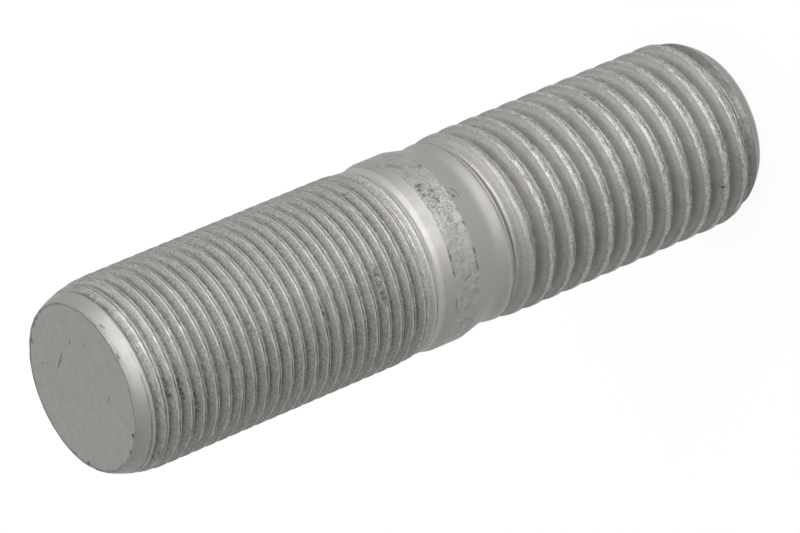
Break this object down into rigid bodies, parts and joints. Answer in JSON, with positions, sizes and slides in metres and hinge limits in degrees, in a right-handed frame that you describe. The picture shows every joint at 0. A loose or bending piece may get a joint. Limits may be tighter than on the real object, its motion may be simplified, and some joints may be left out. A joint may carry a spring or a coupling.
{
  "type": "double-ended wheel stud",
  "caption": "Headless steel wheel stud: a fine thread for the wheel nut, a plain collar and neck, and a coarse thread that screws into the hub.",
  "frame": {"origin": "centre of the flat face of the coarse-threaded hub end", "axes": "+Z along the stud's axis, from the hub end towards the nut end; the side that the picture shows faces -Y"},
  "size_m": [0.0198, 0.0198, 0.0786],
  "materials": {
    "flake_coated_steel": "matt grey zinc flake coating over rolled steel, dull and slightly mottled"
  },
  "bodies": {
    "root": {"wheel_stud": "flake_coated_steel"}
  },
  "joints": []
}
